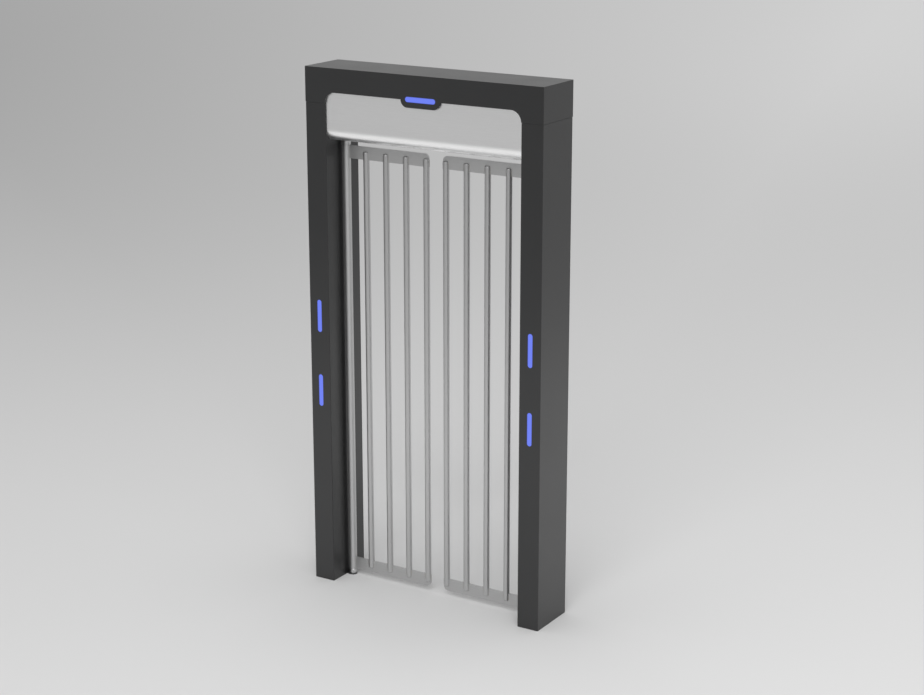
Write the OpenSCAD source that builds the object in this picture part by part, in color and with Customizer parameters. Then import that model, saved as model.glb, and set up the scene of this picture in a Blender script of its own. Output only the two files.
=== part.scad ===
// Pedestrian swing gate: a portal of two sheet-metal posts and a header,
// with two leaves of round bars that swing both ways on vertical hinges.
// Origin: centre of the left post's foot. X runs along the portal,
// Y through it (the front is at -Y), Z up. All sizes are in millimetres.

/* [Portal] */
// Clear width between the two posts
passage_w = 950; // [700:5:1200]
// Width of a post, seen from the front
post_w = 100; // [80:1:160]
// Depth of the posts
portal_d = 240; // [195:1:320]
// Height of the portal over the floor
portal_h = 2300; // [1900:5:2800]
// Height of the header, down to its joint with the posts
header_h = 149; // [130:1:200]
// Height of the header's face over the opening
lintel_h = 102; // [80:1:120]
// Distance that the header stands proud of the posts, all round
header_proud = 1.2; // [0.5:0.1:1.8]
// Height of the open joint between the header and the posts
joint_gap = 1.5; // [0.5:0.1:3]
// Radius of the opening's two upper corners
opening_r = 48; // [20:1:50]
// Thickness of the housings' sheet
sheet_t = 2; // [1.5:0.1:3]
// Outer radius of the folds along the housings' upright edges
fold_r = 3; // [3:0.5:8]
// Width of the header's inward folds, which rest on the head plates
header_fold = 15; // [8:1:25]

/* [Foot and head plates] */
// Thickness of the anchor plate in each foot
base_t = 5; // [4:0.5:7]
// Diameter of the anchor holes
anchor_d = 14; // [10:0.5:18]
// Distance between the anchor holes across the post
anchor_x = 56; // [40:1:70]
// Distance between the anchor holes through the portal
anchor_y = 170; // [120:1:200]
// Diameter of the cable holes in the foot and head plates
cable_d = 36; // [20:1:44]
// Distance from the beam to the head plate's cable holes
cable_gap = 6; // [3:0.5:10]
// Thickness of the plate at each post's head
head_t = 6; // [4:0.5:10]

/* [Header cover] */
// Height of the cover that shows below the header's face
cover_h = 208; // [150:1:240]
// Height of the cover that is hidden behind the header's face
cover_lap = 40; // [20:1:60]
// Outer radius of the cover's two rolled long edges
cover_r = 52; // [20:1:56]
// Distance that the cover lies behind the header's sheet
cover_recess = 6.5; // [6:0.5:14]
// Gap between the cover and the rim of the header's opening
rim_gap = 2; // [1:0.5:4]
// Gap between the cover's ends and the posts
cover_gap = 0.5; // [0.3:0.1:2]

/* [Drives] */
// Width of the beam that carries the drives
beam_w = 60; // [50:1:80]
// Height of the beam
beam_h = 40; // [30:1:60]
// Wall of the beam
beam_t = 3; // [2:0.5:5]
// Length of a gear case along the portal
case_l = 150; // [120:1:180]
// Height of a gear case
case_h = 62; // [58:1:90]
// Radius of a gear case's upright edges
case_r = 8; // [4:1:12]
// Gap between a gear case and the cover's rolled edges
case_gap = 13.5; // [2:0.5:40]
// Diameter of the motor
motor_d = 80; // [60:1:84]
// Height of the flange between the motor and the gear case
motor_flange_h = 8; // [4:1:12]
// Distance that this flange stands out round the motor
motor_flange_lip = 5; // [2:0.5:8]
// Gap between the motor and the plane of the header's joint
motor_gap = 5; // [2:1:20]
// Diameter of the drive shaft
shaft_d = 20; // [14:0.5:24]
// Length of the shaft inside the drive
shaft_grip = 54; // [40:1:56]
// Radial gap between the shaft and the bore of the gear case
shaft_gap = 0.5; // [0.3:0.1:1]
// Wall of the shaft bearing's sleeve
sleeve_wall = 4; // [2.5:0.5:5]
// Wall of the gear case's hanger beside the sleeve
hanger_wall = 4; // [2:0.5:8]
// Gap between the bearing's flange and the post
flange_gap = 2; // [1:0.1:2.5]
// Thickness of the bearing's flange
flange_t = 4; // [3:0.5:6]

/* [Leaves] */
// Gap between the hinge tube and the post
hinge_gap = 5.75; // [5.5:0.05:20]
// Outer diameter of the hinge tube
tube_d = 34.5; // [28:0.1:42.4]
// Wall of the hinge tube
tube_t = 2; // [1.5:0.1:3]
// Outer diameter of the bars
bar_d = 26.9; // [20:0.1:33.7]
// Wall of the bars
bar_t = 2; // [1.5:0.1:3]
// Thickness of the discs that close the bars' ends
bar_cap = 3; // [2:0.5:5]
// Radius of the edge round a bar's closed end
bar_end_r = 5; // [1:0.5:6]
// Height of the flat rails
rail_h = 56; // [40:1:80]
// Thickness of the flat rails
rail_t = 8; // [5:0.5:10]
// Radius of each rail's free outer corner
rail_r = 22; // [5:1:30]
// Distance from a bar's end to the rail's outer edge
bar_short = 21.5; // [5:0.5:30]
// Gap between the free ends of the two leaves
leaf_gap = 70; // [30:1:120]
// Gap between the leaves and the floor
floor_gap = 27.5; // [26:0.5:60]
// Gap between the leaves and the header cover
head_gap = 30; // [26:1:80]

/* [Leaf pivots] */
// Distance that the collars stand out round the hinge tube
collar_lip = 0.5; // [0.5:0.1:3]
// Height of the upper collar
upper_collar_h = 15.5; // [8:0.5:20]
// Height of the lower collar
lower_collar_h = 15.5; // [8:0.5:16]
// Radius of the collars' edges
collar_edge_r = 1.5; // [0.5:0.1:2]
// Height of the neck between the upper collar and the tube
upper_neck_h = 3; // [1:0.5:4]
// Height of the neck between the lower collar and the tube
lower_neck_h = 2.5; // [1:0.5:3]
// Depth of both necks, below the tube's surface
neck_depth = 2; // [1:0.1:3]
// Diameter of the pivot pin in the floor
pin_d = 16; // [12:0.5:20]
// Distance from the pin's top to the top of its bush
pin_gap = 5; // [2:1:10]
// Length of the plugs inside the hinge tube
plug_l = 40; // [20:1:80]
// Gap between the lower collar and the floor pivot's shoulder
pivot_gap = 1.5; // [0.5:0.1:3]
// Distance that the foot's ear lies inside the collar's outline
ear_inset = 0.5; // [0.5:0.1:3]

/* [Lights] */
// Length of a light strip on a post
strip_l = 144; // [80:1:200]
// Width of the light strips
strip_w = 22; // [10:0.5:30]
// Height of the upper strips' middle over the floor
strip_upper_z = 1222; // [1100:1:1500]
// Height of the lower strips' middle over the floor
strip_lower_z = 886; // [600:1:1000]
// Length of the light strip on the header
header_strip_l = 146; // [80:1:170]
// Width of the lobe that carries the header's strip
lobe_w = 190; // [180:1:260]
// Distance that the lobe hangs below the header's face
lobe_drop = 32; // [20:1:40]
// Distance that a lens lies behind the sheet's face
lens_recess = 0.8; // [0.2:0.1:1.2]
// Width of a lens's flange, behind the sheet
lens_lip = 4; // [2:0.5:8]
// Thickness of a lens's flange
lens_lip_t = 3; // [2:0.5:5]
// Height of the header strip's middle over the edge of the header's face
strip_rise = 2; // [0:0.5:5]

/* [Fits] */
// Gap round a piece that sits in a hole or a slot
fit_gap = 0.1; // [0.05:0.05:0.3]
// Radial play of the turning shafts and pins
running_play = 0.05; // [0.02:0.01:0.1]

/* [Hidden] */
$fn = 96;
// Overshoot of every cut past the surface it starts from
eps = 1;
// Bars in a leaf: as many as NODES lists for each side
bars = 4;

mid_x = (post_w + passage_w) / 2;
face_y = portal_d / 2;
joint_z = portal_h - header_h;
inner_w = post_w - 2 * sheet_t;
inner_d = portal_d - 2 * sheet_t;

header_w = passage_w + 2 * post_w + 2 * header_proud;
header_d = portal_d + 2 * header_proud;
header_inner_w = header_w - 2 * sheet_t;
header_inner_d = header_d - 2 * sheet_t;
header_face_y = header_d / 2;
opening_z = portal_h - lintel_h;
cover_z = opening_z - cover_h;
cover_top_z = opening_z + cover_lap;
cover_inner_z = cover_z + sheet_t;
cover_d = header_inner_d - 2 * cover_recess;
cover_flat = cover_d - 2 * cover_r;
header_strip_z = opening_z + strip_rise;
rim_d = sheet_t + cover_recess - rim_gap;

case_w = cover_flat - 2 * case_gap;
case_start = post_w / 2 + cover_gap + sheet_t;
case_top_z = cover_inner_z + case_h;
motor_x = case_start + case_l - motor_d / 2 - motor_flange_lip;
sleeve_d = shaft_d + 2 * sleeve_wall;

hinge_x = post_w / 2 + hinge_gap + tube_d / 2;
flange_d = 2 * (hinge_x - post_w / 2 - flange_gap);
leaf_w = mid_x - hinge_x - leaf_gap / 2;
bar_pitch = (leaf_w - bar_d / 2) / bars;
rail_top_z = cover_z - head_gap;
plug_d = tube_d - 2 * tube_t - 2 * fit_gap;
neck_d = tube_d - 2 * neck_depth;
collar_d = tube_d + 2 * collar_lip;
collar_top_z = rail_top_z + upper_neck_h + upper_collar_h;
collar_low_z = floor_gap - lower_neck_h - lower_collar_h;
shoulder_h = collar_low_z - base_t - pivot_gap;
ear_w = collar_d - 2 * ear_inset;

steel = [0.62, 0.63, 0.64];
paint = [0.22, 0.22, 0.23];
zinc = [0.48, 0.49, 0.50];
glow = [0.40, 0.46, 1.0];

// Places what is built on the left at the mirrored place on the right.
module on_right() {
    translate([2 * mid_x, 0, 0])
        mirror([1, 0, 0])
            children();
}

// Rectangle about the origin with round corners.
module rounded_rect(w, d, r) {
    square([w - 2 * r, d], center = true);
    square([w, d - 2 * r], center = true);
    for (x = [-1, 1], y = [-1, 1])
        translate([x * (w / 2 - r), y * (d / 2 - r)])
            circle(r);
}

// Strip about the origin with half-round ends, long along X.
module strip(l, w) {
    square([l - w, w], center = true);
    for (x = [-1, 1])
        translate([x * (l - w) / 2, 0])
            circle(w / 2);
}

// Upright rod on the origin, with its two end edges rounded.
module rounded_rod(d, l, r) {
    rotate_extrude() {
        square([d / 2 - r, l]);
        translate([0, r])
            square([d / 2, l - 2 * r]);
        for (z = [r, l - r])
            translate([d / 2 - r, z])
                circle(r);
    }
}

// Stands a flat outline up in the portal's front plane, X to X and Y to Z,
// and gives it a thickness towards the back, starting at depth y.
module upright(y, t) {
    translate([0, y + t, 0])
        rotate([90, 0, 0])
            linear_extrude(t)
                children();
}

// One folded housing, open at both ends, with slots for four lenses.
module post() {
    color(paint)
        difference() {
            linear_extrude(joint_z - joint_gap)
                difference() {
                    rounded_rect(post_w, portal_d, fold_r);
                    rounded_rect(inner_w, inner_d, fold_r - sheet_t);
                }
            for (z = [strip_upper_z, strip_lower_z])
                upright(-face_y - eps, portal_d + 2 * eps)
                    translate([0, z])
                        rotate(90)
                            strip(strip_l + 2 * fit_gap, strip_w + 2 * fit_gap);
            pivot_notch();
        }
}

// Notch in the inner wall of a post that lets the base plate's ear out.
module pivot_notch() {
    translate([post_w / 2 - sheet_t - eps, -ear_w / 2 - fit_gap, -eps])
        cube([sheet_t + 2 * eps, ear_w + 2 * fit_gap, base_t + eps + fit_gap]);
}

// Outline of the opening in the header's face without its lobe, grown all
// round by the given width.
module opening_shape(grow) {
    translate([post_w / 2 - grow, joint_z - opening_r])
        square([passage_w + 2 * grow, opening_z - joint_z]);
    translate([post_w / 2 + opening_r, joint_z - opening_r])
        square([passage_w - 2 * opening_r, opening_z - joint_z + opening_r + grow]);
    for (x = [post_w / 2 + opening_r, post_w / 2 + passage_w - opening_r])
        translate([x, opening_z - opening_r])
            circle(opening_r + grow);
}

// Outline of the clear opening in the header's face, lobe left standing.
module opening_outline() {
    difference() {
        opening_shape(0);
        translate([mid_x, opening_z])
            strip(lobe_w, 2 * lobe_drop);
    }
}

// Outline that keeps the opening's inward rim out of the header's hollow, on
// both sides of the lobe.
module rim_outline() {
    difference() {
        opening_shape(sheet_t);
        translate([0, joint_z - opening_r - eps])
            square([2 * mid_x, opening_r + eps]);
        translate([mid_x - lobe_w / 2, joint_z - eps])
            square([lobe_w, header_h]);
    }
}

// Folded box over the posts, with the rimmed opening cut in both faces. Its
// inward folds lie on the head plates and leave the box open between them.
module header_shell() {
    color(paint)
        difference() {
            translate([mid_x, 0, joint_z])
                linear_extrude(header_h)
                    rounded_rect(header_w, header_d, fold_r);
            difference() {
                translate([mid_x, 0, joint_z + sheet_t])
                    linear_extrude(header_h - 2 * sheet_t)
                        rounded_rect(header_inner_w, header_inner_d, fold_r - sheet_t);
                for (y = [-header_face_y, header_face_y - rim_d])
                    upright(y, rim_d)
                        rim_outline();
            }
            translate([mid_x, 0, joint_z - eps])
                linear_extrude(sheet_t + 2 * eps)
                    square([header_inner_w, header_inner_d - 2 * header_fold], center = true);
            upright(-header_face_y - eps, header_d + 2 * eps)
                opening_outline();
            upright(-header_face_y - eps, header_d + 2 * eps)
                translate([mid_x, header_strip_z])
                    strip(header_strip_l + 2 * fit_gap, strip_w + 2 * fit_gap);
        }
}

// U-shaped outline with rolled lower corners, Y to the right and Z up.
module cover_outline(w, r, low, high) {
    translate([-w / 2, low + r])
        square([w, high - low - r]);
    translate([-w / 2 + r, low])
        square([w - 2 * r, r + eps]);
    for (y = [-1, 1])
        translate([y * (w / 2 - r), low + r])
            circle(r);
}

// Section of the cover's sheet. Folds along its upper edges reach out to the
// header's faces.
module cover_section() {
    difference() {
        cover_outline(cover_d, cover_r, cover_z, cover_top_z);
        cover_outline(cover_d - 2 * sheet_t, cover_r - sheet_t, cover_inner_z, cover_top_z + eps);
    }
    for (y = [-1, 1])
        translate([y * (header_inner_d - cover_recess - sheet_t) / 2, cover_top_z - sheet_t / 2])
            square([cover_recess + sheet_t, sheet_t], center = true);
}

// Rolled stainless cover, hung in the header between the two posts, with a
// hole for each bearing.
module drive_cover() {
    color(steel)
        difference() {
            translate([post_w / 2 + cover_gap, 0, 0])
                rotate([90, 0, 90])
                    linear_extrude(passage_w - 2 * cover_gap)
                        cover_section();
            for (x = [hinge_x, 2 * mid_x - hinge_x])
                translate([x, 0, cover_z - eps])
                    cylinder(d = sleeve_d + 2 * fit_gap, h = sheet_t + 2 * eps);
        }
}

// Rectangular tube across the header, resting on both head plates.
module drive_beam() {
    color(zinc)
        translate([mid_x - header_inner_w / 2, 0, joint_z + beam_h / 2])
            rotate([90, 0, 90])
                linear_extrude(header_inner_w)
                    difference() {
                        square([beam_w, beam_h], center = true);
                        square([beam_w - 2 * beam_t, beam_h - 2 * beam_t], center = true);
                    }
}

// Gear case on the cover's floor, with its motor and the hanger that holds it
// to the beam. The shaft and its bearing enter from below.
module drive() {
    color(zinc)
        difference() {
            union() {
                translate([case_start + case_l / 2, 0, cover_inner_z])
                    linear_extrude(case_h)
                        rounded_rect(case_l, case_w, case_r);
                translate([motor_x, 0, case_top_z])
                    cylinder(d = motor_d + 2 * motor_flange_lip, h = motor_flange_h);
                translate([motor_x, 0, case_top_z])
                    rounded_rod(motor_d, joint_z - motor_gap - case_top_z, case_r);
                translate([hinge_x, 0, case_top_z])
                    linear_extrude(joint_z - case_top_z)
                        square([sleeve_d + 2 * hanger_wall, beam_w], center = true);
            }
            translate([hinge_x, 0, cover_inner_z - eps])
                cylinder(d = sleeve_d + 2 * fit_gap, h = shaft_grip / 2 + eps);
            translate([hinge_x, 0, cover_inner_z - eps])
                cylinder(d = shaft_d + 2 * shaft_gap, h = shaft_grip + shaft_gap + eps);
        }
}

// Flanged bearing of the drive shaft, seated against the cover from below.
module bearing() {
    color(steel)
        translate([hinge_x, 0, cover_z - flange_t])
            difference() {
                union() {
                    cylinder(d = flange_d, h = flange_t);
                    cylinder(d = sleeve_d, h = flange_t + sheet_t + shaft_grip / 2 - fit_gap);
                }
                translate([0, 0, -eps])
                    cylinder(d = shaft_d + 2 * running_play, h = flange_t + shaft_grip + 2 * eps);
            }
}

// Anchor plate inside the foot, with the round-ended ear below the hinge tube.
module base_plate() {
    color(zinc)
        difference() {
            linear_extrude(base_t)
                union() {
                    rounded_rect(inner_w, inner_d, fold_r - sheet_t);
                    translate([hinge_x / 2, 0])
                        square([hinge_x, ear_w], center = true);
                    translate([hinge_x, 0])
                        circle(d = ear_w);
                }
            for (x = [-1, 1], y = [-1, 1])
                translate([x * anchor_x / 2, y * anchor_y / 2, -eps])
                    cylinder(d = anchor_d, h = base_t + 2 * eps);
            translate([0, 0, -eps])
                cylinder(d = cable_d, h = base_t + 2 * eps);
        }
}

// Plate that closes a post's head and carries the header and the beam.
module head_plate() {
    color(zinc)
        translate([0, 0, joint_z - head_t])
            difference() {
                linear_extrude(head_t)
                    rounded_rect(inner_w, inner_d, fold_r - sheet_t);
                for (y = [-1, 1])
                    translate([0, y * (beam_w / 2 + cable_gap + cable_d / 2), -eps])
                        cylinder(d = cable_d, h = head_t + 2 * eps);
            }
}

// Shoulder and pin that stand on the base plate's ear.
module floor_pivot() {
    color(steel)
        translate([hinge_x, 0, base_t]) {
            cylinder(d = sleeve_d, h = shoulder_h);
            cylinder(d = pin_d, h = floor_gap - base_t + plug_l - pin_gap);
        }
}

// Lens about the origin: the sheet's face is at Y = 0, the flange behind it.
module lens(l) {
    color(glow) {
        upright(lens_recess, sheet_t - lens_recess)
            strip(l, strip_w);
        upright(sheet_t, lens_lip_t)
            strip(l + 2 * lens_lip, strip_w + 2 * lens_lip);
    }
}

// Upright lens in a post's front (side -1) or back (side 1).
module post_lens(side, z) {
    translate([0, side * face_y, z])
        rotate([0, 0, side > 0 ? 180 : 0])
            rotate([0, 90, 0])
                lens(strip_l);
}

// Level lens in the header's front (side -1) or back (side 1).
module header_lens(side) {
    translate([mid_x, side * header_face_y, header_strip_z])
        rotate([0, 0, side > 0 ? 180 : 0])
            lens(header_strip_l);
}

// Tube that carries a leaf between the floor pivot and the drive.
module hinge_tube() {
    color(steel)
        translate([hinge_x, 0, floor_gap])
            difference() {
                cylinder(d = tube_d, h = rail_top_z - floor_gap);
                translate([0, 0, -eps])
                    cylinder(d = tube_d - 2 * tube_t, h = rail_top_z - floor_gap + 2 * eps);
            }
}

// Plug, neck, collar and shaft at the top of the hinge tube.
module drive_hub() {
    color(steel)
        translate([hinge_x, 0, 0]) {
            translate([0, 0, rail_top_z - plug_l])
                cylinder(d = plug_d, h = plug_l);
            translate([0, 0, rail_top_z])
                cylinder(d = neck_d, h = upper_neck_h);
            translate([0, 0, rail_top_z + upper_neck_h])
                rounded_rod(collar_d, upper_collar_h, collar_edge_r);
            translate([0, 0, collar_top_z])
                cylinder(d = shaft_d, h = cover_inner_z + shaft_grip - collar_top_z);
        }
}

// Bush at the foot of the hinge tube, with the collar that covers the pivot.
module pivot_bush() {
    color(steel)
        translate([hinge_x, 0, collar_low_z])
            difference() {
                union() {
                    rounded_rod(collar_d, lower_collar_h, collar_edge_r);
                    cylinder(d = neck_d, h = lower_collar_h + lower_neck_h);
                    cylinder(d = plug_d, h = lower_collar_h + lower_neck_h + plug_l);
                }
                translate([0, 0, -eps])
                    cylinder(d = pin_d + 2 * running_play, h = floor_gap + plug_l + 2 * eps);
            }
}

// Flat rail on edge, from the hinge tube to the leaf's free end. The outer
// corner of the free end is round: turn = 1 rounds the upper one, -1 the lower.
module rail(z, turn) {
    color(steel)
        translate([hinge_x, 0, z + rail_h / 2])
            difference() {
                upright(-rail_t / 2, rail_t)
                    scale([1, turn])
                        difference() {
                            translate([0, -rail_h / 2])
                                square([leaf_w, rail_h]);
                            translate([leaf_w - rail_r, rail_h / 2 - rail_r])
                                difference() {
                                    square(rail_r + eps);
                                    circle(rail_r);
                                }
                        }
                cylinder(d = tube_d + fit_gap, h = rail_h + 2 * eps, center = true);
            }
}

// Upright bar number n, closed at both ends and slotted over both rails.
module bar(n) {
    low = floor_gap + bar_short;
    high = rail_top_z - bar_short;
    color(steel)
        translate([hinge_x + n * bar_pitch, 0, 0])
            difference() {
                translate([0, 0, low])
                    rounded_rod(bar_d, high - low, bar_end_r);
                translate([0, 0, low + bar_cap])
                    cylinder(d = bar_d - 2 * bar_t, h = high - low - 2 * bar_cap);
                for (z = [floor_gap, rail_top_z - rail_h])
                    translate([-bar_d, -rail_t / 2, z])
                        cube([2 * bar_d, rail_t, rail_h]);
            }
}

post();  // left_post
on_right() post();  // right_post
header_shell();
drive_cover();
drive_beam();
drive();  // left_drive
on_right() drive();  // right_drive
bearing();  // left_bearing
on_right() bearing();  // right_bearing
base_plate();  // left_base_plate
on_right() base_plate();  // right_base_plate
head_plate();  // left_head_plate
on_right() head_plate();  // right_head_plate
floor_pivot();  // left_floor_pivot
on_right() floor_pivot();  // right_floor_pivot
post_lens(-1, strip_upper_z);  // left_front_upper_lens
post_lens(-1, strip_lower_z);  // left_front_lower_lens
post_lens(1, strip_upper_z);  // left_back_upper_lens
post_lens(1, strip_lower_z);  // left_back_lower_lens
on_right() post_lens(-1, strip_upper_z);  // right_front_upper_lens
on_right() post_lens(-1, strip_lower_z);  // right_front_lower_lens
on_right() post_lens(1, strip_upper_z);  // right_back_upper_lens
on_right() post_lens(1, strip_lower_z);  // right_back_lower_lens
header_lens(-1);  // header_front_lens
header_lens(1);  // header_back_lens
hinge_tube();  // left_hinge_tube
drive_hub();  // left_drive_hub
pivot_bush();  // left_pivot_bush
rail(rail_top_z - rail_h, 1);  // left_top_rail
rail(floor_gap, -1);  // left_bottom_rail
bar(1);  // left_bar_1
bar(2);  // left_bar_2
bar(3);  // left_bar_3
bar(4);  // left_bar_4
on_right() hinge_tube();  // right_hinge_tube
on_right() drive_hub();  // right_drive_hub
on_right() pivot_bush();  // right_pivot_bush
on_right() rail(rail_top_z - rail_h, 1);  // right_top_rail
on_right() rail(floor_gap, -1);  // right_bottom_rail
on_right() bar(1);  // right_bar_1
on_right() bar(2);  // right_bar_2
on_right() bar(3);  // right_bar_3
on_right() bar(4);  // right_bar_4
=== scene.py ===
import math
import bmesh
import bpy
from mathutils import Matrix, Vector


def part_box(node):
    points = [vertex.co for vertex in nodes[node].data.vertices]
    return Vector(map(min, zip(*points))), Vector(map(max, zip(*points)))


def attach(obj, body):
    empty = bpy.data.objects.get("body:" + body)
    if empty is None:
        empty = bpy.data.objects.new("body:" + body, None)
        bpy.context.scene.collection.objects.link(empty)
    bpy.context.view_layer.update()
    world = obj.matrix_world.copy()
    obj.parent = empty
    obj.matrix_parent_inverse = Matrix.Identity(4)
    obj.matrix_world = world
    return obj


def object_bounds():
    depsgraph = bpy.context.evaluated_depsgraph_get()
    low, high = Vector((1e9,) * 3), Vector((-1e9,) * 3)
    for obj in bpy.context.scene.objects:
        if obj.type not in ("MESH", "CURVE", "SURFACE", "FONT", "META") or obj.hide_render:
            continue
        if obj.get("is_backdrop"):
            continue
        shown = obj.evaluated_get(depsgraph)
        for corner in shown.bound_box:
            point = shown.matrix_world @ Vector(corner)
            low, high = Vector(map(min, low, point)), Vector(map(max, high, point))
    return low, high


# Pedestrian swing gate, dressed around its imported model. Everything is in metres in the
# model's own frame: X along the portal, Y through it to the back, Z up, and the origin at
# the centre of the left post's foot.

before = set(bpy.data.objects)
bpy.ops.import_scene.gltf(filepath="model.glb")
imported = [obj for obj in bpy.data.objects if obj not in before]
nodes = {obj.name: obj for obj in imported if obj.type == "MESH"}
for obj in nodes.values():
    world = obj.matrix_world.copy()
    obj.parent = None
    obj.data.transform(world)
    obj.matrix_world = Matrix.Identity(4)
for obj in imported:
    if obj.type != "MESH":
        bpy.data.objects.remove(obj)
cad_low, cad_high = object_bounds()


# ---------------------------------------------------------------- Floor, light and camera
# A matt pale grey studio floor, seamless and far larger than the gate, under an even dome
# of soft light that is a little stronger from above and from the front right. The floor's
# grey is painted with light and shade: a painted pool of light near the gate that is
# lighter towards the front right, and a painted shade under the gate.

def new_material(name):
    """A node material with a Principled shader; returns the material, its tree and the shader."""
    made = bpy.data.materials.new(name)
    made.use_nodes = True
    return made, made.node_tree, made.node_tree.nodes["Principled BSDF"]


def node(tree, kind, **sockets):
    """A new node of that kind. A name that ends in _in sets an input, any other a property."""
    made = tree.nodes.new(kind)
    for name, value in sockets.items():
        if name.endswith("_in"):
            made.inputs[name[:-3].replace("_", " ")].default_value = value
        else:
            setattr(made, name, value)
    return made


def ramp(tree, source, stops):
    """Turns a 0 to 1 signal into the greys or colours of the stops, [(place, colour), ...]."""
    made = tree.nodes.new("ShaderNodeValToRGB")
    while len(made.color_ramp.elements) < len(stops):
        made.color_ramp.elements.new(0.5)
    for element, (place, colour) in zip(made.color_ramp.elements, stops):
        element.position = place
        element.color = colour if len(colour) == 4 else (*colour, 1.0)
    tree.links.new(source, made.inputs[0])
    return made.outputs[0]


floor_half = 60.0
floor_light = 1.0
floor_roughness = 0.9
# Near the gate, a painted pool of light: the tone at its middle, how it changes along X
# and Y, how that bends and how far it reaches; and how deep and how wide the painted
# shade under the gate is.
near_tone = (0.7049, 0.0295, -0.0224)
near_bend = (0.0015, -0.0024)
near_reach = 10.0
near_shade = (0.115, 0.714)
# Far away: the tone and how it changes with the heading, kept between two limits.
far_tone = (0.7829, 0.528)
far_most = 0.64
far_least = 0.36
# What the metal mirrors, a painted reflection: a brighter floor tone that only glossy rays
# see, and its change with the heading, close by and beyond; the distances between which one
# becomes the other; and the painted shade under the gate.
mirror_tone = (0.90, 0.50)
mirror_tilt = (0.03, 0.08)
mirror_heading = (0.54, 0.84, 0.0)
mirror_reach = (3.0, 6.5)
mirror_shade = (0.2, 1.6, 0.80, 1.0)
no_division_by_zero = 0.001
gate_middle = (cad_low + cad_high) / 2

bm = bmesh.new()
bmesh.ops.create_grid(bm, x_segments=1, y_segments=1, size=floor_half)
floor_mesh = bpy.data.meshes.new("floor")
bm.to_mesh(floor_mesh)
bm.free()
floor = bpy.data.objects.new("floor", floor_mesh)
bpy.context.scene.collection.objects.link(floor)
floor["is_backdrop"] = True


def feed(tree, socket, value):
    """Links a signal into a socket, or sets a number on it."""
    if isinstance(value, bpy.types.NodeSocket):
        tree.links.new(value, socket)
    else:
        socket.default_value = value


def math_node(tree, operation, first, second=0.0, third=None):
    """One step of arithmetic on signals or numbers; the third is what MULTIPLY_ADD adds."""
    made = tree.nodes.new("ShaderNodeMath")
    made.operation = operation
    for socket, value in zip(made.inputs, (first, second, third)):
        if value is not None:
            feed(tree, socket, value)
    return made.outputs[0]


def step_between(tree, signal, **ends):
    """A smooth step of the signal; each end is a number or a signal, such as From_Min."""
    made = node(tree, "ShaderNodeMapRange", interpolation_type="SMOOTHSTEP")
    tree.links.new(signal, made.inputs["Value"])
    for name, value in ends.items():
        feed(tree, made.inputs[name.replace("_", " ")], value)
    return made.outputs["Result"]


def bell(tree, distance, width):
    """A signal of 1 at no distance that falls to nothing over a few widths."""
    share = math_node(tree, "DIVIDE", distance, width)
    squared = math_node(tree, "MULTIPLY", math_node(tree, "MULTIPLY", share, share), -1.0)
    return math_node(tree, "EXPONENT", squared)


def far_level(tree, x, distance):
    """The far floor's tone in the heading of a place at that X and distance."""
    heading = math_node(tree, "DIVIDE", x, math_node(tree, "ADD", distance, no_division_by_zero))
    level = math_node(tree, "MULTIPLY_ADD", heading, far_tone[1], far_tone[0])
    return math_node(tree, "MAXIMUM", math_node(tree, "MINIMUM", level, far_most), far_least)


def axes_of(tree, vector):
    """The X, Y and Z signals of a vector."""
    made = node(tree, "ShaderNodeSeparateXYZ")
    tree.links.new(vector, made.inputs[0])
    return made.outputs["X"], made.outputs["Y"], made.outputs["Z"]


floor_paint, tree, shader = new_material("floor_paint")
shader.inputs["Roughness"].default_value = floor_roughness
shader.inputs["Specular IOR Level"].default_value = 0.0
place = node(tree, "ShaderNodeTexCoord")
centred = node(tree, "ShaderNodeMapping")
centred.inputs["Location"].default_value = (-gate_middle.x, -gate_middle.y, 0.0)
tree.links.new(place.outputs["Object"], centred.inputs["Vector"])
floor_x, floor_y, _ = axes_of(tree, centred.outputs["Vector"])
length = node(tree, "ShaderNodeVectorMath", operation="LENGTH")
tree.links.new(centred.outputs["Vector"], length.inputs[0])
reach = length.outputs["Value"]

# Painted light and shade: the near pool of light fades into the far tone, and a painted shade darkens the
# floor close to the gate.
share = bell(tree, reach, near_reach)
slope = math_node(tree, "MULTIPLY_ADD", floor_x, near_bend[0], near_tone[1])
slope = math_node(tree, "ADD", slope, math_node(tree, "MULTIPLY", floor_y, near_bend[1]))
near = math_node(tree, "MULTIPLY_ADD", floor_x, slope, near_tone[0])
near = math_node(tree, "ADD", near, math_node(tree, "MULTIPLY", floor_y, near_tone[2]))
far = far_level(tree, floor_x, reach)
tone = math_node(tree, "ADD", math_node(tree, "MULTIPLY", near, share),
                 math_node(tree, "MULTIPLY", far, math_node(tree, "SUBTRACT", 1.0, share)))
# Painted shade under the gate.
close = bell(tree, reach, near_shade[1])
tone = math_node(tree, "MULTIPLY", tone, math_node(tree, "MULTIPLY_ADD", close, -near_shade[0], 1.0))

toward = node(tree, "ShaderNodeVectorMath", operation="DOT_PRODUCT")
tree.links.new(centred.outputs["Vector"], toward.inputs[0])
toward.inputs[1].default_value = mirror_heading
toward = math_node(tree, "DIVIDE", toward.outputs["Value"],
                   math_node(tree, "ADD", reach, no_division_by_zero))
close_by, beyond = [math_node(tree, "MULTIPLY_ADD", toward, tilt, level)
                    for level, tilt in zip(mirror_tone, mirror_tilt)]
shown = step_between(tree, reach, From_Min=mirror_reach[0], From_Max=mirror_reach[1],
                     To_Min=close_by, To_Max=beyond)
shade = step_between(tree, reach, **dict(zip(("From_Min", "From_Max", "To_Min", "To_Max"), mirror_shade)))
mirrored = math_node(tree, "MULTIPLY", shown, shade)
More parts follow.
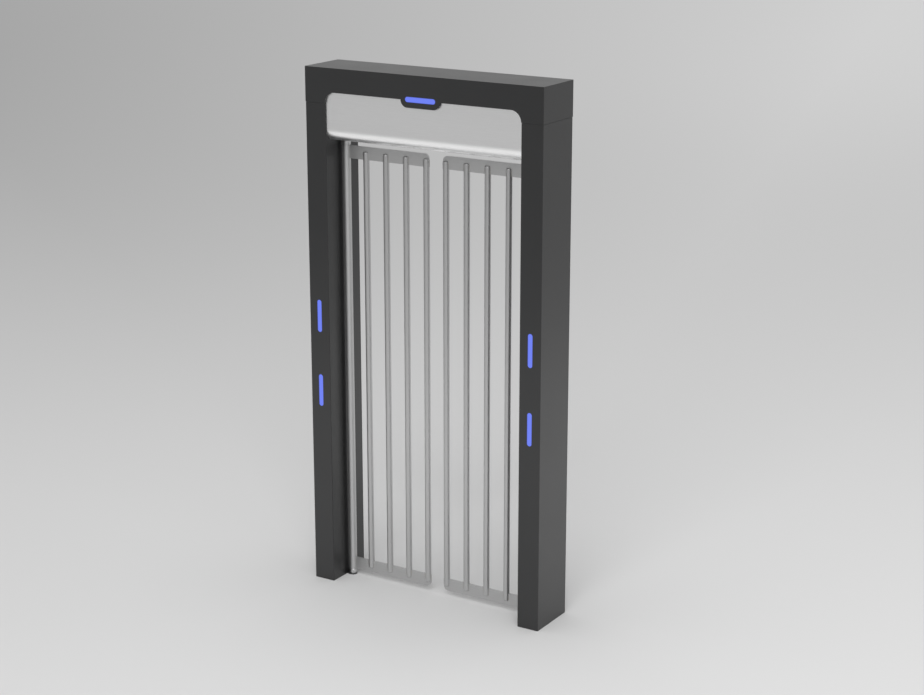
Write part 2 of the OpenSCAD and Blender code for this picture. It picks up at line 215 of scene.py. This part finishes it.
# Glossy rays see the painted reflection tone in place of the floor's own tone.
ray = node(tree, "ShaderNodeLightPath")
seen = node(tree, "ShaderNodeMix")
tree.links.new(ray.outputs["Is Glossy Ray"], seen.inputs["Factor"])
tree.links.new(tone, seen.inputs["A"])
tree.links.new(mirrored, seen.inputs["B"])
tone = math_node(tree, "MINIMUM", math_node(tree, "DIVIDE", seen.outputs["Result"], floor_light), 1.0)
grey = node(tree, "ShaderNodeCombineColor")
for channel in grey.inputs:
    tree.links.new(tone, channel)
tree.links.new(grey.outputs["Color"], shader.inputs["Base Color"])
floor_mesh.materials.append(floor_paint)

dome_low = 0.50
dome_rise = 0.30
backdrop_rise = 0.5
key_share = 0.30
key_width = math.radians(44.0)
key_direction = Vector((0.295, -0.721, 0.627)).normalized()
camera_lens = 76.854
camera_sensor = 36.0
camera_reach = 300.0
camera_place = (4.8703, -6.8072, 3.4276)
camera_dip = 0.27725
camera_heading = 0.55491
world = bpy.data.worlds.new("studio_dome")
bpy.context.scene.world = world
world.use_nodes = True
tree = world.node_tree
background = tree.nodes["Background"]
background.inputs["Color"].default_value = (1.0, 1.0, 1.0, 1.0)
heading = node(tree, "ShaderNodeTexCoord")
sky_x, sky_y, sky_z = axes_of(tree, heading.outputs["Generated"])
height = math_node(tree, "MAXIMUM", sky_z, 0.0)
strength = math_node(tree, "MULTIPLY_ADD", height, dome_rise, dome_low)
flat = math_node(tree, "SQRT", math_node(tree, "ADD", math_node(tree, "POWER", sky_x, 2.0),
                                         math_node(tree, "POWER", sky_y, 2.0)))
rise = step_between(tree, height, From_Max=backdrop_rise, To_Min=far_level(tree, sky_x, flat),
                    To_Max=strength)
ray = node(tree, "ShaderNodeLightPath")
seen = node(tree, "ShaderNodeMix")
tree.links.new(ray.outputs["Is Camera Ray"], seen.inputs["Factor"])
tree.links.new(strength, seen.inputs["A"])
tree.links.new(rise, seen.inputs["B"])
tree.links.new(seen.outputs["Result"], background.inputs["Strength"])

key_data = bpy.data.lights.new("key", "SUN")
key_data.angle = key_width
key_data.energy = math.pi * floor_light * key_share / key_direction.z
key = bpy.data.objects.new("key", key_data)
key.rotation_euler = key_direction.to_track_quat("Z", "Y").to_euler()
bpy.context.scene.collection.objects.link(key)

camera_data = bpy.data.cameras.new("camera")
camera_data.lens = camera_lens
camera_data.sensor_width = camera_sensor
camera_data.clip_end = camera_reach
camera = bpy.data.objects.new("camera", camera_data)
camera.location = camera_place
camera.rotation_euler = (math.pi / 2 - camera_dip, 0.0, camera_heading)
bpy.context.scene.collection.objects.link(camera)
bpy.context.scene.camera = camera
bpy.context.scene.view_settings.view_transform = "Standard"


# ---------------------------------------------------------------- Posts and header
# Folded steel sheet housings in a dark grey, semi-gloss powder coat with a fine orange
# peel. The header's box lies on the posts with an open joint of a millimetre and a half.

coat_tones = ((0.0118, 0.0120, 0.0124), (0.0142, 0.0144, 0.0149))
coat_edge_tone = (0.030, 0.0305, 0.0315)
coat_edge_r = 0.0025
coat_roughness = (0.285, 0.07)
coat_ior = 1.58
coarse_peel = 750.0
fine_peel = 2600.0
fine_peel_share = 0.35

dark_paint, tree, shader = new_material("dark_paint")
shader.inputs["IOR"].default_value = coat_ior
place = node(tree, "ShaderNodeTexCoord")


def noise(tree, place, scale, detail=2.0):
    """A soft random signal of that many features to the metre."""
    made = node(tree, "ShaderNodeTexNoise", Scale_in=scale, Detail_in=detail)
    tree.links.new(place, made.inputs["Vector"])
    return made.outputs["Fac"]


def relief(tree, shader, signal, strength, depth):
    """Raises the surface by the signal, at most by the depth in metres."""
    bump = node(tree, "ShaderNodeBump", Strength_in=strength, Distance_in=depth)
    tree.links.new(signal, bump.inputs["Height"])
    tree.links.new(bump.outputs["Normal"], shader.inputs["Normal"])


def worn_edges(tree, radius):
    """A signal that is 0 on flat sheet and rises towards 1 along its edges, where colour is lightened
    partly as wear and partly as a painted sheen.
    """
    rounded = node(tree, "ShaderNodeBevel", samples=6, Radius_in=radius)
    facing = node(tree, "ShaderNodeNewGeometry")
    along = node(tree, "ShaderNodeVectorMath", operation="DOT_PRODUCT")
    tree.links.new(rounded.outputs["Normal"], along.inputs[0])
    tree.links.new(facing.outputs["Normal"], along.inputs[1])
    return math_node(tree, "MULTIPLY", math_node(tree, "SUBTRACT", 1.0, along.outputs["Value"]), 3.0)


def blend(tree, signal, first, second):
    """Mixes two colours by a signal from 0 to 1."""
    made = node(tree, "ShaderNodeMix", data_type="RGBA")
    tree.links.new(signal, made.inputs[0])
    for socket, colour in zip((made.inputs[6], made.inputs[7]), (first, second)):
        if isinstance(colour, bpy.types.NodeSocket):
            tree.links.new(colour, socket)
        else:
            socket.default_value = (*colour, 1.0)
    return made.outputs[2]


coat = ramp(tree, noise(tree, place.outputs["Object"], 2.5, 3.0),
            [(0.3, coat_tones[0]), (0.7, coat_tones[1])])
# Lighter along the folds: partly wear of the coat and partly a painted sheen.
edge = worn_edges(tree, coat_edge_r)
tree.links.new(blend(tree, edge, coat, coat_edge_tone), shader.inputs["Base Color"])
handled = noise(tree, place.outputs["Object"], 7.0, 4.0)
tree.links.new(math_node(tree, "MULTIPLY_ADD", handled, coat_roughness[1], coat_roughness[0]),
               shader.inputs["Roughness"])
peel = math_node(tree, "MULTIPLY_ADD", noise(tree, place.outputs["Object"], fine_peel), fine_peel_share,
                 noise(tree, place.outputs["Object"], coarse_peel))
relief(tree, shader, peel, 0.14, 0.0004)


def dress(material, *names):
    """Gives CAD nodes this material in place of their plain one."""
    for name in names:
        mesh = nodes[name].data
        mesh.materials.clear()
        mesh.materials.append(material)


dress(dark_paint, "left_post", "right_post", "header_shell")


# ---------------------------------------------------------------- Foot and head plates, beam, drives
# The anchor and head plates in the posts have the posts' coat. The beam in the header and
# the two gear motors are zinc-plated: a bluish grey with the soft mottling of the bath.

zinc_steel, tree, shader = new_material("zinc_steel")
shader.inputs["Metallic"].default_value = 1.0
place = node(tree, "ShaderNodeTexCoord")
bath = noise(tree, place.outputs["Object"], 35.0, 4.0)
flower = node(tree, "ShaderNodeTexVoronoi", Scale_in=140.0)
tree.links.new(place.outputs["Object"], flower.inputs["Vector"])
spangle = node(tree, "ShaderNodeSeparateColor")
tree.links.new(flower.outputs["Color"], spangle.inputs["Color"])
mottle = math_node(tree, "ADD", math_node(tree, "MULTIPLY", bath, 0.7),
                   math_node(tree, "MULTIPLY", spangle.outputs["Red"], 0.3))
tree.links.new(ramp(tree, mottle, [(0.2, (0.36, 0.37, 0.39)), (0.8, (0.47, 0.48, 0.50))]),
               shader.inputs["Base Color"])
tree.links.new(ramp(tree, mottle, [(0.2, (0.50,) * 3), (0.8, (0.36,) * 3)]), shader.inputs["Roughness"])
relief(tree, shader, noise(tree, place.outputs["Object"], 300.0), 0.08, 0.0002)
dress(zinc_steel, "drive_beam")
for side in ("left", "right"):
    dress(dark_paint, side + "_base_plate", side + "_head_plate")
    dress(zinc_steel, side + "_drive")


# ---------------------------------------------------------------- Header cover
# One stainless sheet rolled into a trough along both lower edges, brushed along its length
# before it was rolled. It hangs inside the header and fills the space between the posts.

line_contrast = 0.025
smudge_coarser = 90.0
edge_polish = 1.15
metal_edge_r = 0.0015


def ground(tree, shader, place, grey, rough, fine):
    """Stainless colour, roughness and relief from grinding lines that cross the place's axes."""
    lines = noise(tree, place, fine, 3.0)
    smudge = noise(tree, place, fine / smudge_coarser, 3.0)
    light, dark = [(grey * share,) * 3 for share in (1.0 + line_contrast, 1.0 - line_contrast)]
    metal = ramp(tree, lines, [(0.3, dark), (0.7, light)])
    # Lighter along the edges: partly polish from brushing and partly a painted sheen.
    polished = (min(1.0, grey * edge_polish),) * 3
    edge = worn_edges(tree, metal_edge_r)
    tree.links.new(blend(tree, edge, metal, polished), shader.inputs["Base Color"])
    mixed = math_node(tree, "ADD", math_node(tree, "MULTIPLY", lines, 0.6),
                      math_node(tree, "MULTIPLY", smudge, 0.4))
    tree.links.new(ramp(tree, mixed, [(0.3, (rough * 1.12,) * 3), (0.7, (rough * 0.88,) * 3)]),
                   shader.inputs["Roughness"])
    relief(tree, shader, lines, 0.05, 0.0002)


line_stretch = 0.02


def brushed(name, grey, rough, along, fine):
    """Stainless with a ground finish whose lines run along one axis."""
    made, tree, shader = new_material(name)
    shader.inputs["Metallic"].default_value = 1.0
    place = node(tree, "ShaderNodeTexCoord")
    stretch = node(tree, "ShaderNodeMapping")
    stretch.inputs["Scale"].default_value = [line_stretch if axis == along else 1.0 for axis in "XYZ"]
    tree.links.new(place.outputs["Object"], stretch.inputs["Vector"])
    ground(tree, shader, stretch.outputs["Vector"], grey, rough, fine)
    return made


dress(brushed("brushed_stainless", 0.93, 0.34, "X", 900.0), "drive_cover")


# ---------------------------------------------------------------- Leaves
# Hinge tube, flat rails and round bars of stainless, ground to a satin finish before they
# were welded. The bars are slotted over the rails and closed by welded discs.

# Painted shade on the bars' end discs: their tone where they face up or down, and their roughness there.
end_tone = 0.30
end_roughness = 0.60


def dull_ends(material):
    """Darkens a material where it faces up or down, a painted shade that hides the key light's highlight
    on the bars' rounded ends, and makes it rougher there.
    """
    tree = material.node_tree
    shader = tree.nodes["Principled BSDF"]
    facing = node(tree, "ShaderNodeNewGeometry")
    end_face = math_node(tree, "ABSOLUTE", axes_of(tree, facing.outputs["Normal"])[2])
    for socket, value in (("Base Color", end_tone), ("Roughness", end_roughness)):
        drawn = shader.inputs[socket].links[0].from_socket
        tree.links.new(blend(tree, end_face, drawn, (value,) * 3), shader.inputs[socket])


satin_tube = brushed("satin_stainless_tube", 0.53, 0.50, "Z", 500.0)
satin_bar = brushed("satin_stainless_bar", 0.505, 0.39, "Z", 500.0)
satin_flat = brushed("satin_stainless_flat", 0.49, 0.50, "X", 500.0)
# The bars' ends get a painted shade.
dull_ends(satin_bar)
bars = [f"bar_{n}" for n in range(1, 5)]
for side in ("left", "right"):
    dress(satin_tube, side + "_hinge_tube")
    dress(satin_bar, *[f"{side}_{bar}" for bar in bars])
    dress(satin_flat, side + "_top_rail", side + "_bottom_rail")


# ---------------------------------------------------------------- Weld beads
# Thin stainless beads, laid by hand in small even ripples, that join each bar and each
# hinge tube to the faces of the rails. They were brushed clean and keep a faint straw tint.

weld_metal, tree, shader = new_material("weld_metal")
shader.inputs["Metallic"].default_value = 1.0
place = node(tree, "ShaderNodeTexCoord")
tint = noise(tree, place.outputs["Object"], 60.0, 3.0)
tree.links.new(ramp(tree, tint, [(0.35, (0.47, 0.47, 0.475)), (0.7, (0.50, 0.475, 0.43))]),
               shader.inputs["Base Color"])
tree.links.new(ramp(tree, tint, [(0.3, (0.42,) * 3), (0.7, (0.34,) * 3)]), shader.inputs["Roughness"])
relief(tree, shader, noise(tree, place.outputs["Object"], 1400.0), 0.15, 0.0002)

bead_r = 0.0017
bead_sides = 8
pinch = 0.5
ripple = 0.0016
least_ripples = 2
shallow = 0.86
bar_end_r = 0.005


def bead(length):
    """An upright bead on the origin, with a ripple every so often and pinched ends."""
    bm = bmesh.new()
    bmesh.ops.create_circle(bm, segments=bead_sides, radius=bead_r * pinch, cap_ends=True)
    bm.faces.ensure_lookup_table()
    ring = bm.faces[0]
    steps = 2 * max(least_ripples, round(length / ripple))
    for step in range(1, steps + 1):
        ring = bmesh.ops.extrude_discrete_faces(bm, faces=[ring])["faces"][0]
        span = pinch if step == steps else (1.0 if step % 2 else shallow)
        for vert in ring.verts:
            flat = vert.co.xy.normalized() * bead_r * span
            vert.co = Vector((flat.x, flat.y, length * step / steps))
    bmesh.ops.holes_fill(bm, edges=[edge for edge in bm.edges if edge.is_boundary])
    mesh = bpy.data.meshes.new("bead")
    bm.to_mesh(mesh)
    bm.free()
    return mesh


def lay(bm, pattern, x, y, z):
    """Adds a copy of a small mesh at that place."""
    before = len(bm.verts)
    bm.from_mesh(pattern)
    bm.verts.ensure_lookup_table()
    bmesh.ops.translate(bm, verts=bm.verts[before:], vec=(x, y, z))


def centre_and_half(name):
    """Middle of a CAD node's box and half of its size."""
    low, high = [Vector(corner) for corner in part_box(name)]
    return (low + high) / 2, (high - low) / 2


def finish_piece(name, bm, material, body, smooth=True):
    """Makes one object of the mesh, its faces pointing outwards, and fixes it to its body."""
    bmesh.ops.recalc_face_normals(bm, faces=bm.faces[:])
    mesh = bpy.data.meshes.new(name)
    bm.to_mesh(mesh)
    bm.free()
    for face in mesh.polygons:
        face.use_smooth = smooth
    mesh.materials.append(material)
    piece = bpy.data.objects.new(name, mesh)
    bpy.context.scene.collection.objects.link(piece)
    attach(piece, body)
    return piece


for side, inward in (("left", 1.0), ("right", -1.0)):
    bm = bmesh.new()
    tube_mid, tube_half = centre_and_half(side + "_hinge_tube")
    for rail in ("top", "bottom"):
        rail_mid, rail_half = centre_and_half(f"{side}_{rail}_rail")
        rail_low, rail_high = rail_mid.z - rail_half.z, rail_mid.z + rail_half.z
        bar_mid, bar_half = centre_and_half(side + "_bar_1")
        low = max(rail_low, bar_mid.z - bar_half.z + bar_end_r)
        high = min(rail_high, bar_mid.z + bar_half.z - bar_end_r)
        long_bead, short_bead = bead(rail_high - rail_low), bead(high - low)
        for y in (-rail_half.y, rail_half.y):
            reach = math.sqrt(tube_half.x ** 2 - y ** 2)
            lay(bm, long_bead, tube_mid.x + inward * reach, y, rail_low)
            reach = math.sqrt(bar_half.x ** 2 - y ** 2)
            for bar in bars:
                bar_x = centre_and_half(f"{side}_{bar}")[0].x
                for way in (-1.0, 1.0):
                    lay(bm, short_bead, bar_x + way * reach, y, low)
    finish_piece(side + "_welds", bm, weld_metal, side + "_leaf")


# ---------------------------------------------------------------- Pivots and bearings
# Turned stainless: the hub and the bush in each hinge tube, the bearing under the cover
# and the pin in the foot, with the fine rings that the turning tool leaves.

hinge_mid = centre_and_half("left_drive_hub")[0].x
turned_steel, tree, shader = new_material("turned_steel")
shader.inputs["Metallic"].default_value = 1.0
place = node(tree, "ShaderNodeTexCoord")
part_x, part_y, part_z = axes_of(tree, place.outputs["Object"])
from_middle = math_node(tree, "ABSOLUTE", math_node(tree, "SUBTRACT", part_x, gate_middle.x))
from_axis = math_node(tree, "SUBTRACT", from_middle, gate_middle.x - hinge_mid)
radius = math_node(tree, "SQRT", math_node(tree, "ADD", math_node(tree, "POWER", from_axis, 2.0),
                                           math_node(tree, "MULTIPLY", part_y, part_y)))
turning = node(tree, "ShaderNodeCombineXYZ")
tree.links.new(radius, turning.inputs["X"])
tree.links.new(part_z, turning.inputs["Z"])
ground(tree, shader, turning.outputs["Vector"], 0.60, 0.32, 1500.0)
turned = ("bearing", "floor_pivot", "drive_hub", "pivot_bush")
for side in ("left", "right"):
    dress(turned_steel, *[f"{side}_{part}" for part in turned])


# ---------------------------------------------------------------- Screws
# Stainless hexagon-socket screws with button heads: four hold each bearing's flange up to
# its drive, and four more hold each drive down on the cover's floor from below.

screw_steel, tree, shader = new_material("screw_steel")
shader.inputs["Metallic"].default_value = 1.0
place = node(tree, "ShaderNodeTexCoord")
pickled = noise(tree, place.outputs["Object"], 400.0, 3.0)
tree.links.new(ramp(tree, pickled, [(0.3, (0.50, 0.50, 0.51)), (0.7, (0.60, 0.60, 0.605))]),
               shader.inputs["Base Color"])
tree.links.new(ramp(tree, pickled, [(0.3, (0.36,) * 3), (0.7, (0.28,) * 3)]), shader.inputs["Roughness"])
relief(tree, shader, pickled, 0.10, 0.0001)


head_land = 0.15
head_steps = 6
head_sides = 24
socket_floor = 0.45


def screw(radius, height, socket):
    """A button head that hangs below the origin, with a hexagon socket of that width."""
    bm = bmesh.new()
    bmesh.ops.create_circle(bm, segments=head_sides, radius=radius, cap_ends=True)
    bm.faces.ensure_lookup_table()
    ring = bm.faces[0]
    flat = socket / 2 / math.cos(math.radians(30.0)) + head_land * radius
    rings = [(radius, -head_land * height)]
    for step in range(1, head_steps + 1):
        turn = math.radians(90.0 * step / head_steps)
        drop = -height * (head_land + (1.0 - head_land) * math.sin(turn))
        rings.append((flat + (radius - flat) * math.cos(turn), drop))
    # The last two rings are the socket's hexagon, at its mouth and at its floor.
    rings += [(None, -height), (None, -socket_floor * height)]
    for round_reach, drop in rings:
        ring = bmesh.ops.extrude_discrete_faces(bm, faces=[ring])["faces"][0]
        for vert in ring.verts:
            turn = math.atan2(vert.co.y, vert.co.x)
            reach = round_reach or socket / 2 / math.cos(turn % (math.tau / 6) - math.tau / 12)
            vert.co = Vector((reach * math.cos(turn), reach * math.sin(turn), drop))
    bmesh.ops.holes_fill(bm, edges=[edge for edge in bm.edges if edge.is_boundary])
    mesh = bpy.data.meshes.new("screw")
    bm.to_mesh(mesh)
    bm.free()
    return mesh


flange_screw_r = 0.0175
case_screw_y = 0.035
case_screw_inset = 0.015
flange_screw = screw(radius=0.00275, height=0.0014, socket=0.0025)
case_screw = screw(radius=0.00475, height=0.0025, socket=0.003)
cover_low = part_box("drive_cover")[0].z
for side in ("left", "right"):
    bearing_mid, bearing_half = centre_and_half(side + "_bearing")
    drive_mid, drive_half = centre_and_half(side + "_drive")
    bm = bmesh.new()
    for quarter in range(4):
        turn = math.radians(45.0 + 90.0 * quarter)
        lay(bm, flange_screw, bearing_mid.x + flange_screw_r * math.cos(turn),
            flange_screw_r * math.sin(turn), bearing_mid.z - bearing_half.z)
    for way in (-1.0, 1.0):
        for y in (-case_screw_y, case_screw_y):
            lay(bm, case_screw, drive_mid.x + way * (drive_half.x - case_screw_inset), y, cover_low)
    finish_piece(side + "_screws", bm, screw_steel, "portal", smooth=False)


# ---------------------------------------------------------------- Light strips
# Frosted diffusers of clear plastic in front of blue diodes, pushed into their slots from
# behind so that they lie a little below the sheet.

lens_lip = 0.004
rim_fade = 0.0035
strip_light = (0.126, 0.180, 0.80)
strip_edge = (0.085, 0.125, 0.66)
strip_plastic = (0.02, 0.03, 0.10, 1.0)


def diffuser(name, lens, along):
    """Lit frosted plastic that dims a little in the last millimetres before its rim."""
    made, tree, shader = new_material(name)
    shader.inputs["Base Color"].default_value = strip_plastic
    shader.inputs["Roughness"].default_value = 0.35
    shader.inputs["Emission Strength"].default_value = 1.0
    middle, half = centre_and_half(lens)
    place = node(tree, "ShaderNodeTexCoord")
    lens_x, _, lens_z = axes_of(tree, place.outputs["Object"])
    off_x = math_node(tree, "ABSOLUTE", math_node(tree, "SUBTRACT", lens_x, gate_middle.x))
    off_x = math_node(tree, "ABSOLUTE", math_node(tree, "SUBTRACT", off_x, abs(middle.x - gate_middle.x)))
    off_z = math_node(tree, "ABSOLUTE", math_node(tree, "SUBTRACT", lens_z, middle.z))
    across, length = (off_x, off_z) if along == "Z" else (off_z, off_x)
    half_width = min(half.x, half.z) - lens_lip
    straight = max(half.x, half.z) - lens_lip - half_width
    beyond = math_node(tree, "MAXIMUM", math_node(tree, "SUBTRACT", length, straight), 0.0)
    away = math_node(tree, "SQRT", math_node(tree, "ADD", math_node(tree, "MULTIPLY", across, across),
                                             math_node(tree, "MULTIPLY", beyond, beyond)))
    rim = step_between(tree, away, From_Min=half_width - rim_fade, From_Max=half_width)
    tree.links.new(blend(tree, rim, strip_light, strip_edge), shader.inputs["Emission Color"])
    relief(tree, shader, noise(tree, place.outputs["Object"], 2500.0), 0.12, 0.0001)
    return made


header_light = diffuser("blue_light_header", "header_front_lens", "X")
upper_light = diffuser("blue_light_upper", "left_front_upper_lens", "Z")
lower_light = diffuser("blue_light_lower", "left_front_lower_lens", "Z")
for face in ("front", "back"):
    dress(header_light, f"header_{face}_lens")
    for side in ("left", "right"):
        dress(upper_light, f"{side}_{face}_upper_lens")
        dress(lower_light, f"{side}_{face}_lower_lens")


low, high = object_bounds()
